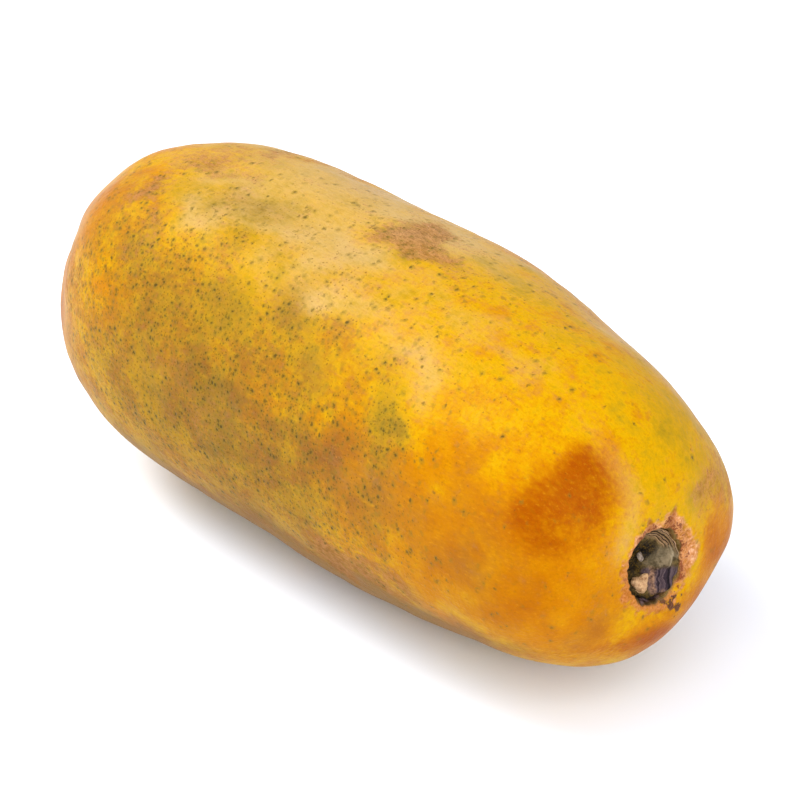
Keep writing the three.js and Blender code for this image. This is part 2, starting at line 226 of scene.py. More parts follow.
BLOOM = (  # pale wax that is still on the skin, laid along the ridges where highlights fall: partly painted highlight
    (0, 98, 0.9, 32, 0.14), (-0.2, 122, 0.12, 6, 0.25), (-0.25, 72, 0.3, 9, 0.2),
    (-0.02, 108, 0.2, 9, 0.4), (0.12, 102, 0.12, 6, 0.4), (0.43, 105, 0.14, 6, 0.3),
    (0.7, 102, 0.16, 5, 0.35), (0.92, 102, 0.05, 6, 0.6), (-0.12, 116, 0.14, 5, 0.45),
    (0.12, 121, 0.12, 6, 0.3), (0.32, 119, 0.16, 5, 0.3), (-0.45, 103, 0.1, 5, 0.35),
    (0.4, 167, 0.12, 4, 0.2), (-0.7, 92, 0.1, 5, 0.25), (0.03, 78, 0.14, 6, 0.3), (-0.4, 98, 0.2, 7, 0.3),
    (-0.35, 76, 0.4, 13, 0.7), (0.1, 72, 0.26, 12, 0.7), (-0.3, 90, 0.28, 8, 0.35),
    (-0.05, 100, 0.14, 10, 0.5), (-0.3, 112, 0.22, 10, 0.3), (0.1, 127, 0.08, 7, 0.6),
    (0.42, 127, 0.12, 5, 0.6), (-0.4, 118, 0.07, 5, 0.55), (0.55, 60, 0.2, 10, 0.5),
    (-0.86, 105, 0.06, 30, 0.4), (-0.85, 150, 0.04, 14, 0.6), (-0.15, 172, 0.3, 8, 0.18),
    (0.3, 22, 0.3, 14, 0.4), (-0.4, 310, 0.3, 14, 0.4), (0.5, 262, 0.2, 12, 0.3),
    (-0.7, 40, 0.12, 20, 0.4),
)
SCUFFS = (  # dry, rubbed, pinkish brown
    (0.05, 82, 0.065, 7, 0.9), (0.02, 78, 0.05, 6, 0.5), (0.11, 88, 0.08, 6, 0.75),
    (0.2, 84, 0.07, 7, 1.1), (0.15, 91, 0.07, 4, 0.45), (0.14, 83, 0.09, 6, 0.5),
    (-0.49, 78, 0.07, 10, 0.8), (-0.6, 86, 0.06, 9, 0.6), (-0.57, 95, 0.1, 6, 0.75),
    (-0.46, 98, 0.1, 4, 0.55), (-0.64, 110, 0.05, 9, 1.05), (-0.6, 121, 0.045, 7, 1.0),
    (-0.51, 132, 0.06, 6, 0.8), (-0.48, 140, 0.1, 4, 0.4), (0.28, 205, 0.1, 6, 1.55),
    (0.42, 207, 0.09, 6, 1.5), (0.36, 200, 0.1, 3, 0.6), (0.2, 214, 0.12, 6, 0.5),
    (-0.76, 162, 0.07, 12, 0.75), (-0.67, 166, 0.04, 9, 0.5), (-0.42, 66, 0.1, 5, 0.6),
    (-0.7, 88, 0.05, 6, 0.4), (-0.2, 300, 0.1, 9, 0.7), (-0.1, 312, 0.06, 6, 0.6),
    (0.6, 275, 0.12, 8, 0.6), (-0.5, 15, 0.09, 8, 0.7), (0.35, 12, 0.07, 6, 0.7),
    (-0.8, 320, 0.08, 18, 0.5), (0.3, 345, 0.05, 5, 0.5), (-0.85, 50, 0.05, 14, 0.4),
)
BRUISES = (  # soft flesh showing deep orange brown
    (0.95, 124, 0.065, 15, 0.65), (0.95, 147, 0.045, 11, 1.0), (0.87, 151, 0.05, 8, 0.7),
    (0.885, 118, 0.035, 11, 0.45), (0.96, 108, 0.04, 8, 0.3), (0.86, 186, 0.05, 7, 0.5),
    (0.78, 154, 0.06, 4, 0.2), (0.95, 178, 0.06, 12, 0.25), (0.96, 205, 0.05, 14, 0.25),
    (0.9, 330, 0.08, 16, 0.4), (-0.93, 100, 0.04, 30, 0.3), (0.92, 250, 0.06, 14, 0.35),
    (-0.66, 300, 0.07, 10, 0.4), (0.7, 5, 0.06, 9, 0.35),
)
BRUISES_END = (118, 126)  # the X between which they give way to the bruises of the end's face
BASE_SPECKS = 0.14
SPECKS = (
    (-0.3, 150, 0.3, 22, 0.8), (0.05, 156, 0.3, 20, 0.8), (-0.25, 182, 0.3, 16, 0.5),
    (0.15, 186, 0.4, 12, 0.4), (-0.1, 112, 0.5, 18, 0.12), (-0.25, 186, 0.45, 18, 0.5),
    (-0.2, 166, 0.4, 16, 0.4), (0.2, 180, 0.3, 14, 0.45), (-0.1, 170, 0.4, 12, 0.3),
    (-0.6, 150, 0.18, 28, 0.35), (0.44, 150, 0.08, 10, 1.1), (0.1, 85, 0.25, 10, 0.3),
    (0.2, 20, 0.4, 22, 0.6), (-0.4, 330, 0.35, 24, 0.6), (-0.2, 262, 0.35, 22, 0.5),
    (0.4, 290, 0.25, 20, 0.35),
)
# and on the face of the stem end: across and up from the hollow's middle, width, height, strength
END_FACE = (80, 104)  # the X between which the face takes over from the body
END_RIPENESS = (
    (18, 36, 16, 12, -0.03), (-34, 4, 12, 18, 0.08), (-15, -4, 6, 14, -0.02), (30, -4, 9, 12, 0.3),
    (4, -25, 14, 8, 0.32), (19, -4, 3.5, 9, -0.1), (14, -13, 3.5, 3, -0.1), (16, 9, 4, 4, -0.04),
    (-3, -31, 8, 5, -0.1), (22, -22, 8, 8, 0.3), (2, 25, 6, 4, -0.02), (-20, -16, 8, 7, 0.16),
)
# pale wax on the face of the stem end, partly painted highlight
END_BLOOM = ((-9, 30, 5, 11, 0.6), (-13, 15, 5, 7, 0.45), (34, 18, 5, 8, 0.5))
END_SCUFFS = (
    (27, 17, 9, 9, 1.0), (19, 13, 5, 5, 0.45), (19, 19, 6, 3.5, 0.55), (36, 10, 6, 7, 0.5),
    (12, 22, 4, 2, 0.3), (30, -22, 6, 9, 0.4),
)
END_BRUISES = (
    (-27, 17, 7, 5, 0.35), (2, -26, 12, 6, 1.2), (-14, -25, 8, 5, 0.6), (5, -16, 4, 2.5, 0.7),
    (16, -14, 4, 4, 0.5), (24, 4, 5, 6, 0.7), (-25, -25, 8, 5, 0.4), (-15, 35, 6, 5, 0.5),
    (-24, 28, 9, 8, 1.35), (-15, 33, 9, 6, 0.7), (-33, 15, 7, 7, 0.95), (-10, 27, 5, 5, 0.3),
    (-36, -6, 5, 9, 0.25), (30, -6, 7, 8, 0.7), (-28, -12, 6, 5, 0.25), (-20, -18, 5, 4, 0.2),
    (8, -26, 10, 4, 0.5), (-13.5, -3, 2, 7, 0.3), (-9, -13.5, 5, 2, 0.35), (24, -20, 6, 6, 0.6),
)
END_STAINS = (
    (8.7, -11.3, 1.7, 1.0, 1.1), (6.4, -13.8, 1.6, 2.0, 1.3), (10.4, -15.4, 2.1, 1.2, 1.2),
    (3.5, -12, 1.6, 1.0, 0.8), (9, -18, 1.2, 0.8, 0.6), (13, -12.5, 0.9, 0.7, 0.6),
)
CORK_WINDOWS = (  # bare skin in the collar
    (14.5, 9.5, 2.6, 3, 1.0), (10.5, -8.6, 2.6, 1.4, 1.2), (4, -12.5, 5, 1.2, 0.5), (16, 2, 1.6, 3, 0.6),
    (3, 15, 2, 2, 0.5),
)
COLLAR_REACH, COLLAR_EDGE = 2.4, (-2, 1.6)  # from the rim, and its soft edge inside and outside of that
COLLAR_TONGUES = ((2, 36, 5.4), (60, 26, 2.0), (292, 22, 1.6), (205, 35, 1.4))  # angle, spread, reach
HORNS = ((99, 7, 4.6), (68, 10, 5.5), (118, 3, 2.4), (20, 4, 2.6), (-32, 4, 2.4))  # angle, length, width
CRUMBS_FROM_RIM, CRUMBS_WIDTH, CRUMBS_ANGLE = 1.2, 2.6, 25
SCAR_ZONE, SCAR_RADIUS = (0.9, 0.99), 5.5
SHADED_ANGLE = 225
ONE_SIDE = (-0.2, 0.6)  # the cosines between which one side of a ring gives way to the other
WANDER_ALONG, WANDER_ROUND, WANDER_ACROSS = 0.022, 3.2, 1.3  # part of the half, degrees, mm


def marks(places, along, angle):
    """The sum of bells along and round the skin, one for each place, times its strength."""
    return sum(strength * bell(along - place, reach) * bell(turned(angle, centre), math.radians(spread))
               for place, centre, reach, spread, strength in places)


def end_marks(places, across, rise):
    """The same on the flat of the stem end, in millimetres from the middle of the hollow."""
    return sum(strength * bell(across - y, width) * bell(rise - z, height)
               for y, z, width, height, strength in places)


# the marks wander off their smooth outlines by a few millimetres
wander = ripples(skin_rows, 3, 26)
wander_round = ripples(skin_rows, 4, 22)
near_along = along + WANDER_ALONG * wander
near_angle = angle + math.radians(WANDER_ROUND) * wander_round
across = skin_rows[..., 1] - RIM_Y + WANDER_ACROSS * wander
rise = skin_rows[..., 2] - RIM_Z + WANDER_ACROSS * wander_round
end_face = ease(skin_rows[..., 0], *END_FACE)
from_rim = np.hypot(skin_rows[..., 1] - RIM_Y, skin_rows[..., 2] - RIM_Z) - rim_radius(angle)
crumble = ripples(skin_rows, 5, 3.4)

ripeness = BASE_RIPENESS + marks(RIPENESS, near_along, near_angle)
ripeness += end_face * end_marks(END_RIPENESS, across, rise)
ripeness += 0.03 * ripples(skin_rows, 6, 34) + 0.03 * ripples(skin_rows, 7, 11)
veil = marks(VEIL, near_along, near_angle) + 0.1 * ripples(skin_rows, 8, 30)
bloom = marks(BLOOM, near_along, near_angle) * (1 - end_face) + end_face * end_marks(END_BLOOM, across, rise)
scuff = marks(SCUFFS, near_along, near_angle) + end_face * end_marks(END_SCUFFS, across, rise)
bruise = marks(BRUISES, near_along, near_angle) * (1 - ease(skin_rows[..., 0], *BRUISES_END))
bruise = 1 - np.exp(-bruise - end_face * end_marks(END_BRUISES, across, rise))
stain = end_face * end_marks(END_STAINS, across, rise)
specks = BASE_SPECKS + marks(SPECKS, near_along, near_angle) * (1 - 0.8 * end_face) - 0.08 * end_face

# the collar: how far its cork reaches from the rim, the windows in it, its pointed horns and its crumbs
collar_reach = COLLAR_REACH + 0.5 * crumble + 0.5 * ripples(skin_rows, 11, 7)
for centre, spread, reach in COLLAR_TONGUES:
    collar_reach += reach * bell(turned(angle, centre), math.radians(spread))
windows = np.clip(end_marks(CORK_WINDOWS, across, rise), 0, 1)
beyond = ease(from_rim - collar_reach, *COLLAR_EDGE)
cork = end_face * (1 - beyond) * (1 - 0.8 * windows)
horn = 0 * angle
for centre, length, width in HORNS:
    sideways = np.abs((from_rim + RIM_RADIUS) * np.sin(turned(angle, centre)))
    sideways += 10 * (np.cos(turned(angle, centre)) < 0)
    taper = width / 2 * np.clip(1 - from_rim / length, 0, 1) ** 1.4
    spike = (1 - ease(sideways, 0.3 * taper, 1.5 * taper + 0.5)) * ease(from_rim, length, 0.5 * length)
    horn = np.maximum(horn, end_face * spike)
crumbs = end_face * bell(from_rim - CRUMBS_FROM_RIM, CRUMBS_WIDTH)
crumbs *= 0.35 + 0.65 * ease(np.cos(turned(angle, CRUMBS_ANGLE)), *ONE_SIDE)
scar = (ease(-alongs, *SCAR_ZONE) * bell(girth(alongs), SCAR_RADIUS))[:, None] * np.ones_like(angles)
scar = np.concatenate([scar, np.zeros((HOLLOW_STEPS, ROUND_STEPS))])
gloom = ease(np.cos(turned(angle, SHADED_ANGLE)), *ONE_SIDE)  # painted shade on the side of the hollow away from the light

# low relief in mm: it is pressed inwards, to stay within the fruit's own outline, apart from cork crumbs
SINK, SWELL, RIPPLE, SCUFF_SINK, LEAST_SINK = 0.3, 0.17, 0.06, 0.15, 0.12
CORK_SINK, HORN_SINK, SCAR_SINK = 0.3, 0.7, 0.5
RAGGED_LIP, LIP_WIDTH, LIP_DEPTH = 0.28, 1.4, 4
REST_FADE = (-56, -44)  # the heights between which the relief dies away to the spot that it rests on
in_hollow = (depth >= 0) * np.ones_like(angle)
free_skin = (1 - in_hollow) * ease(skin_rows[..., 2], *REST_FADE)
uneven = SWELL * ripples(skin_rows, 9, 34) + RIPPLE * ripples(skin_rows, 10, 12)
sink = free_skin * (SINK + uneven + SCUFF_SINK * np.clip(scuff, 0, 1))
sink = np.maximum(sink, LEAST_SINK * free_skin)
sink += CORK_SINK * end_face * np.clip(cork, 0, 1) * (1 - in_hollow) * (1 + crumble)
sink += HORN_SINK * horn * np.clip(1 - from_rim / 9, 0, 1) * (1 - in_hollow)
puckers = 0.5 + 0.5 * np.cos(LOBES * angle)
sink += SCAR_SINK * scar * puckers * (1 - bell(girth(np.minimum(along, 0.99)), 1.2))
lip = bell(from_rim, LIP_WIDTH) * (depth >= 0) * (depth < LIP_DEPTH)
skin_rows = skin_rows - outward(skin_rows) * sink[..., None]
ragged = lip * (RAGGED_LIP * crumble + 0.3 * horn)
skin_rows[..., 1] += ragged * np.cos(angle)
skin_rows[..., 2] += ragged * np.sin(angle)
past = np.maximum(0, skin_rows[..., 0] - SHOULDER_FROM)  # the roundest part of the shoulder, eased back
skin_rows[..., 0] -= SHOULDER_PULL * past * ease(past, 0, 1)
skin_rows = skin_rows + MIDDLE
skin_rows[..., 2] = np.maximum(skin_rows[..., 2], 0)


def closed_mesh(name, rows, **fields):
    """A mesh of rings of points in mm, closed at each end by the mean of its ring; faces look outwards.

    A field is a grid of one number to a point; the end points take the mean of their ring.
    """
    count, around = rows.shape[:2]
    points = np.concatenate([[rows[0].mean(0)], rows.reshape(-1, 3), [rows[-1].mean(0)]]) * MM
    ring = 1 + np.arange(count * around).reshape(count, around)
    after = np.roll(ring, -1, axis=1)
    quads = np.stack([ring[:-1], after[:-1], after[1:], ring[1:]], -1).reshape(-1, 4)
    tip = np.stack([np.zeros(around, int), after[0], ring[0]], -1)
    tail = np.stack([ring[-1], after[-1], np.full(around, len(points) - 1)], -1)
    mesh = bpy.data.meshes.new(name)
    mesh.from_pydata(points, [], quads.tolist() + tip.tolist() + tail.tolist())
    mesh.polygons.foreach_set("use_smooth", np.ones(len(mesh.polygons), bool))
    for field, grid in fields.items():
        grid = np.broadcast_to(grid, (count, around))
        values = np.concatenate([[grid[0].mean()], grid.reshape(-1), [grid[-1].mean()]])
        attribute = mesh.attributes.new(field, "FLOAT", "POINT")
        attribute.data.foreach_set("value", values.astype(np.float32))
    mesh.update()
    piece = bpy.data.objects.new(name, mesh)
    bpy.context.scene.collection.objects.link(piece)
    return piece


skin = closed_mesh(
    "papaya_skin", skin_rows,
    ripeness=ripeness, veil=veil, bloom=bloom, scuff=scuff, bruise=bruise, stain=stain, specks=specks,
    cork=cork, horn=horn, crumbs=crumbs, scar=scar, depth=depth, gloom=gloom)


class Wire:
    """One output of a node in a material's tree; + - * / on it add Math nodes."""

    def __init__(self, tree, socket=None):
        self.tree, self.socket = tree, socket

    def node(self, kind, settings, sockets, output=0):
        """Adds a node, sets it up, gives its sockets values or wires, and returns one of its outputs."""
        made = self.tree.nodes.new(kind)
        stops = settings.pop("stops", ())
        for name, value in settings.items():
            setattr(made, name, value)
        if stops:
            made.color_ramp.elements.remove(made.color_ramp.elements[1])
            for place, colour in stops:
                stop = made.color_ramp.elements.new(place)
                stop.color = colour
            made.color_ramp.elements.remove(made.color_ramp.elements[0])
        for name, value in sockets.items():
            if isinstance(value, Wire):
                self.tree.links.new(value.socket, made.inputs[name])
            else:
                made.inputs[name].default_value = value
        return Wire(self.tree, made.outputs[output])

    def math(self, operation, *terms):
        """A Math node's result on its terms, in order."""
        return self.node("ShaderNodeMath", {"operation": operation}, dict(enumerate(terms)))

    def __add__(self, other):
        return self.math("ADD", self, other)

    def __sub__(self, other):
        return self.math("SUBTRACT", self, other)

    def __rsub__(self, other):
        return self.math("SUBTRACT", other, self)

    def __mul__(self, other):
        return self.math("MULTIPLY", self, other)

    def __truediv__(self, other):
        return self.math("DIVIDE", self, other)

    __radd__, __rmul__ = __add__, __mul__

    def rise(self, low, high):
        """From 0 at low to 1 at high, smoothly; a high below low falls instead."""
        steps = {"Value": self, "From Min": low, "From Max": high, "To Min": 0.0, "To Max": 1.0}
        return self.node("ShaderNodeMapRange", {"interpolation_type": "SMOOTHSTEP"}, steps)

    def over(self, below, above):
        """Mixes a colour over another by this amount."""
        return self.node("ShaderNodeMix", {"data_type": "RGBA"}, {0: self, 6: below, 7: above}, 2)

    def ramp(self, stops):
        """The colour at this value on a run of stops, each a place and a colour."""
        return self.node("ShaderNodeValToRGB", {"stops": stops}, {"Fac": self})

    def parts(self):
        """The red, green and blue parts of this colour."""
        red = self.node("ShaderNodeSeparateColor", {}, {"Color": self})
        return [Wire(self.tree, part) for part in red.socket.node.outputs]

    def field(self, name):
        """The number that the mesh holds at each point under this name."""
        return self.node("ShaderNodeAttribute", {"attribute_name": name}, {}, "Fac")

    def stretched(self, *scale):
        """These coordinates, scaled along each axis."""
        return self.node("ShaderNodeMapping", {}, {"Vector": self, "Scale": scale})

    def cloud(self, size, detail=2.0):
        """Noise with features about a size in mm across, centred on 0 and mostly between -1 and 1."""
        sockets = {"Vector": self, "Scale": 1 / (size * MM), "Detail": detail}
        return (self.node("ShaderNodeTexNoise", {}, sockets) - 0.5) * 4

    def bands(self, detail):
        """Noise along a line at this distance: uneven bands about 1 wide, mostly from 0.3 to 0.7."""
        sockets = {"W": self, "Scale": 1.0, "Detail": detail}
        return self.node("ShaderNodeTexNoise", {"noise_dimensions": "1D"}, sockets)

    def cells(self, size, output):
        """Voronoi cells about a size in mm across: the distance to their middles, or a colour to each."""
        return self.node("ShaderNodeTexVoronoi", {}, {"Vector": self, "Scale": 1 / (size * MM)}, output)


def tone(red, green, blue):
    """A colour from its everyday 0 to 255 parts, made linear."""
    return tuple((part / 255) ** 2.2 for part in (red, green, blue)) + (1,)


def paint(piece, name, constants):
    """Puts a new material on a piece, sets its shader's fixed values, and returns shader and coordinates."""
    material = bpy.data.materials.new(name)
    material.use_nodes = True
    tree = material.node_tree
    shader = tree.nodes["Principled BSDF"]
    for socket, value in constants.items():
        shader.inputs[socket].default_value = value
    piece.data.materials.append(material)
    return shader, Wire(tree).node("ShaderNodeTexCoord", {}, {}, "Object")


def wire_up(shader, colour, roughness, relief, depth_mm):
    """Feeds the shader its colour, its roughness, and a bump of a relief so many mm deep."""
    links = colour.tree.links
    links.new(colour.socket, shader.inputs["Base Color"])
    links.new(roughness.socket, shader.inputs["Roughness"])
    bump = relief.node("ShaderNodeBump", {}, {"Height": relief, "Distance": depth_mm * MM, "Strength": 1.0})
    links.new(bump.socket, shader.inputs["Normal"])


RIPENING = (  # green, then yellow, then orange
    (0.0, tone(82, 74, 14)), (0.2, tone(124, 99, 22)), (0.38, tone(160, 127, 22)), (0.56, tone(189, 142, 4)),
    (0.72, tone(179, 116, 3)), (0.86, tone(168, 100, 3)), (1.0, tone(154, 84, 3)))
CORK_TONES = (
    (0.1, tone(110, 58, 34)), (0.35, tone(172, 108, 66)), (0.6, tone(200, 142, 100)),
    (0.85, tone(234, 190, 156)))
WALL_TONES = (
    (0.3, tone(38, 28, 14)), (0.42, tone(86, 66, 34)), (0.5, tone(132, 98, 62)), (0.58, tone(96, 82, 34)),
    (0.7, tone(150, 116, 84)))
DULL_TONES, WAX_TONE = (tone(116, 82, 44), tone(98, 66, 42)), tone(184, 154, 100)
RUBBED_TONES, BRUISE_TONES = (tone(112, 72, 46), tone(174, 122, 80)), (tone(178, 106, 4), tone(142, 66, 1))
DARK_FIBRE, LIGHT_FIBRE, MOTTLE_TONE = tone(114, 76, 6), tone(226, 166, 36), tone(132, 90, 6)
DARK_GRIT, LIGHT_GRIT = tone(92, 62, 14), tone(220, 144, 40)
HALO_TONE, DUST_TONE, SPECK_TONE = tone(112, 98, 36), tone(88, 66, 22), tone(66, 56, 28)
SHADED_CORK, TORN_TONES = (tone(140, 74, 22), tone(188, 116, 52)), (tone(128, 70, 34), tone(178, 120, 80))
CRUMB_TONES, STAIN_TONES = (tone(66, 26, 14), tone(128, 62, 36)), (tone(44, 28, 30), tone(96, 62, 48))
BOTTOM_TONES, SCAR_TONES = (tone(24, 17, 16), tone(104, 84, 88)), (tone(58, 42, 26), tone(120, 92, 58))
SPECK_CELL, DUST_CELL = 2.0, 1.1
NUDGE, NUDGES_A_METRE = 1.2, 900.0  # how far a speck's outline is pushed about, and how often
SPECK_SIZES = (0.11, 0.24)  # the smallest, and how much the largest adds, as parts of a cell

shader, here = paint(skin, "waxy_skin", {"Specular IOR Level": 0.045, "Specular Tint": (1, 0.8, 0.3, 1)})
lengthwise = here.stretched(0.3, 1, 1)
broad, middling, fine = here.cloud(9, 3), here.cloud(2.6, 3), here.cloud(0.8)
streaks, grain = lengthwise.cloud(1.6, 3), lengthwise.cloud(0.7, 2)
mottle, grit = here.cloud(1.5, 3), here.cloud(0.6, 2)

# the flesh's colour through the skin, and what dulls, waxes, rubs or bruises it; the dull cast also carries
# painted shade, and the wax painted highlights
uneven_share = here.field("ripeness").rise(0.78, 0.55) * 0.65 + 0.35  # less where it is ripe
unrest = broad * 0.05 + middling * 0.07 + streaks * 0.05 + mottle * 0.05 + fine * 0.03
colour = (here.field("ripeness") + unrest * uneven_share).ramp(RIPENING)
# the dull brown cast, partly painted shade, turns to its darker tone where it is thickest, on the underside
dulled = (here.field("veil") + broad * 0.2 + middling * 0.12 + streaks * 0.1).rise(0.0, 1.4)
colour = (dulled * 0.75).over(colour, dulled.rise(0.55, 1.0).over(*DULL_TONES))
# pale wax bloom, partly painted highlight along the ridges and at the blossom end
waxed = (here.field("bloom") + broad * 0.09 + middling * 0.09 + streaks * 0.14 + fine * 0.08).rise(0.0, 1.25)
colour = (waxed * 0.8).over(colour, WAX_TONE)
rubbed = here.field("scuff") + broad * 0.16 + middling * 0.24 + streaks * 0.3 + fine * 0.14
rubbed = rubbed.rise(0.15, 1.35)
colour = (rubbed * 0.72).over(colour, (grain + middling).rise(-1.2, 1.2).over(*RUBBED_TONES))
soft = (here.field("bruise") + broad * 0.12 + streaks * 0.12 + middling * 0.05).rise(0.0, 0.95)
colour = (soft * 0.95).over(colour, soft.over(*BRUISE_TONES))

# fibres, mottling and grit
for amount, shade in (
        (grain.rise(0.1, 1.4) * 0.3, DARK_FIBRE),
        (grain.rise(-0.2, -1.4) * 0.2, LIGHT_FIBRE),
        ((mottle + fine * 0.6).rise(0.1, 1.6) * 0.3, MOTTLE_TONE),
        (grit.rise(0.2, 1.5) * (dulled * 0.35 + 0.12), DARK_GRIT),
        (grit.rise(-0.3, -1.6) * (dulled * 0.3 + 0.08), LIGHT_GRIT)):
    colour = amount.over(colour, shade)

# pores: two sizes of dark speck, one to a cell, and as many cells filled as the skin calls for
thick = here.field("specks") + broad * 0.16 + middling * 0.14
jitter = here.node(
    "ShaderNodeTexNoise", {}, {"Vector": here, "Scale": NUDGES_A_METRE, "Detail": 2.0}, "Color")
nudge = jitter.node("ShaderNodeVectorMath", {"operation": "SCALE"}, {0: jitter, "Scale": NUDGE * MM})
near = here.node("ShaderNodeVectorMath", {"operation": "ADD"}, {0: here, 1: nudge})
lot, speck_size, ink = near.cells(SPECK_CELL, "Color").parts()
chosen = (thick * 1.2 - lot).rise(0, 0.08) * (ink * 0.5 + 0.5)
from_middle = near.cells(SPECK_CELL, "Distance") / (speck_size * SPECK_SIZES[1] + SPECK_SIZES[0])
speck = from_middle.rise(1.2, 0.5) * chosen
halo = from_middle.rise(3.2, 0.9) * chosen
dust_lot = near.cells(DUST_CELL, "Color").parts()[0]
dust = near.cells(DUST_CELL, "Distance").rise(0.36, 0.12) * (thick * 1.4 - dust_lot).rise(0, 0.3)
colour = (halo * 0.5).over(colour, HALO_TONE)
colour = (dust * 0.65).over(colour, DUST_TONE)
colour = (speck * (0.7 + dulled * 0.2 - waxed * 0.35)).over(colour, SPECK_TONE)

# the collar's cork, its torn horns, crumbs and stains; the cork is darker on the shaded side of the hollow as
# painted shade
corky = (here.field("cork") * (1 + middling * 0.3 + fine * 0.2 + broad * 0.2)).rise(0.15, 0.85)
flake = middling * 0.6 + fine * 0.8 + broad * 0.4
shaded = here.field("gloom")
shaded_cork = flake.rise(-1.5, 1.5).over(*SHADED_CORK)
colour = (corky * 0.88).over(colour, (shaded * 0.75).over((flake * 0.3 + 0.5).ramp(CORK_TONES), shaded_cork))
torn = (here.field("horn") + fine * 0.15 + middling * 0.12).rise(0.15, 0.9)
colour = (torn * 0.8).over(colour, (fine + middling * 0.6).rise(-1, 1.2).over(*TORN_TONES))
crumb = (here.field("crumbs") * (fine * 0.7 + middling).rise(-0.3, 1.0)).rise(0.22, 0.42)
colour = (crumb * 0.85).over(colour, fine.rise(-1, 1).over(*CRUMB_TONES))
blot = (here.field("stain") * (1 + middling * 0.7 + fine * 0.5)).rise(0.3, 0.65)
colour = (blot * 0.92).over(colour, (fine + middling * 0.5).rise(-1, 1).over(*STAIN_TONES))

# the wall of the hollow, in layers, with painted shade darkening it towards the bottom and sooner on its
# shaded side, and the dried scar of the flower
deep = here.field("depth")
layers = (deep * 1.3 + middling * 0.12 + broad * 0.2).bands(3.0).ramp(WALL_TONES)
# painted shade deep in the hollow
bottom = (middling + streaks).rise(-0.4, 1.8).over(*BOTTOM_TONES)
wall = (deep + middling * 0.3).rise(0.3, 1.2)
colour = wall.over(colour, (deep + shaded * 6 + middling * 0.5).rise(4, 10).over(layers, bottom))
dried = (here.field("scar") + middling * 0.1).rise(0.3, 0.8)
colour = dried.over(colour, (fine + middling).rise(-1, 1).over(*SCAR_TONES))

dry = rubbed + corky + torn + wall + dried
dry = dry.math("MINIMUM", dry, 1.0)
roughness = 0.37 + dry * 0.3 + dulled * 0.06 + fine * 0.02
pores = here.cells(DUST_CELL, "Distance").rise(0.0, 0.35)
relief = (middling * 0.12 + fine * 0.05 + pores * 0.05 + streaks * 0.06 - speck * 0.15
          + dry * (fine * 0.25 + middling * 0.16) + corky * 0.3 - torn * 0.5 - crumb * 0.6)
wire_up(shader, colour, roughness, relief, depth_mm=0.5)
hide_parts("fruit")
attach(skin, "root")

# ---------------------------------------------------------------------------------------------------
# Stump of the stalk.  Where the stalk broke off, its dry, woody foot has shrunk to a thin cup in the
# hollow: wrinkled in rings by the rim, with one thick smooth plate, pleats below it and a dark middle,
# which painted shade darkens further in its deep crevice and along its lower edge.
# ---------------------------------------------------------------------------------------------------
STUMP_GAP = 0.4
DEEPEST_Y, DEEPEST_Z, DEEPEST = -2.6, -0.8, 8.8
EDGE_DEPTH, EDGE_RISE, EDGE_ANGLE = 4.0, 2.0, 20
FLARE, FLARE_ANGLE, FLARE_SPREAD = 2.0, -50, 1.2
FOOT_DEPTH, FOOT_SCALES, SIDE_END = 11.0, (0.05, 0.62), 0.9
CUP_POWER, CUP_MIDDLE = 1.2, 0.012
PLATE_Y, PLATE_Z, PLATE_RADIUS, PLATE_HEIGHT = 5.0, -0.5, 4.0, 2.0
PLATE_PATCHES = (  # across, up, stretched across and up, radius, strength
    (6.2, 1.6, 1.1, 1, 4.0, 1.0), (2.8, -0.4, 1, 1, 2.4, 0.7))
# the dark middle and lower edge: dark tissue with painted shade laid over it
MURK_PATCHES = ((-3.4, 0.6, 1, 1.5, 4.4, 1.0), (1.2, 3.6, 1.4, 1, 2.2, 1.1))
MURKY_EDGE = (262, 0.7, 0.8)  # angle, spread in radians, strength
CRUMPLE, FLUTTER, WAVY_EDGE = 0.25, 0.1, 0.45
RINGS, RING_HEIGHT, RINGS_ANGLE, RINGS_ZONE, RINGS_SIDE = 13, 0.12, 82, (0.6, 0.84), (-0.1, 0.55)
PLEATS = ((2.7, 0.22), (0.93, 0.12))  # wide and narrow: pitch, height
PLEATS_DOWN, PLEATS_ACROSS, PLEATS_SLANT, PLEATS_LEAN = (0.2, 4.6), (-2.2, 0.8), 0.25, 0.12
FOLD_Y, FOLD_Z, FOLD_WIDTH, FOLD_LENGTH, FOLD_BEND, FOLD_HEIGHT = 8.1, 0.8, 0.5, 4.2, 0.08, 0.6
STREAK_Y, STREAK_WIDTH = 2.9, 1.0
STREAKED_EDGE = (292, 0.35, 0.8)  # angle, spread in radians, strength
RIM_X = stem_face(RIM_RADIUS)
CUP_STEPS, SIDE_STEPS, BASE_STEPS, STUMP_ROUND = 84, 12, 5, 300


def wall_scale(depth):
    """The part of the rim's outline that the wall of the hollow has at a depth."""
    return np.interp(depth, HOLLOW_DEPTHS[2:], HOLLOW_SCALES[2:])


def stump_edge(angle):
    """Depth of the cup's edge, a tilted circle with a bell-shaped flare, and its radius inside the wall."""
    depth = EDGE_DEPTH - EDGE_RISE * np.cos(turned(angle, EDGE_ANGLE))
    depth = depth - FLARE * bell(turned(angle, FLARE_ANGLE), FLARE_SPREAD)
    return depth, wall_scale(depth) * rim_radius(angle) - STUMP_GAP


def in_hollow_frame(depth, y, z):
    """A point of the hollow at a depth below its rim and beside its middle, in the part's frame."""
    return np.stack(np.broadcast_arrays(RIM_X - depth, RIM_Y + y, RIM_Z + z), -1) + MIDDLE


stump_angle = np.arange(STUMP_ROUND)[None] * 2 * math.pi / STUMP_ROUND


def ring_of(depth, radius):
    """Points round the hollow's middle at a depth: a radius times the cosine across and the sine up."""
    return in_hollow_frame(depth, radius * np.cos(stump_angle), radius * np.sin(stump_angle))


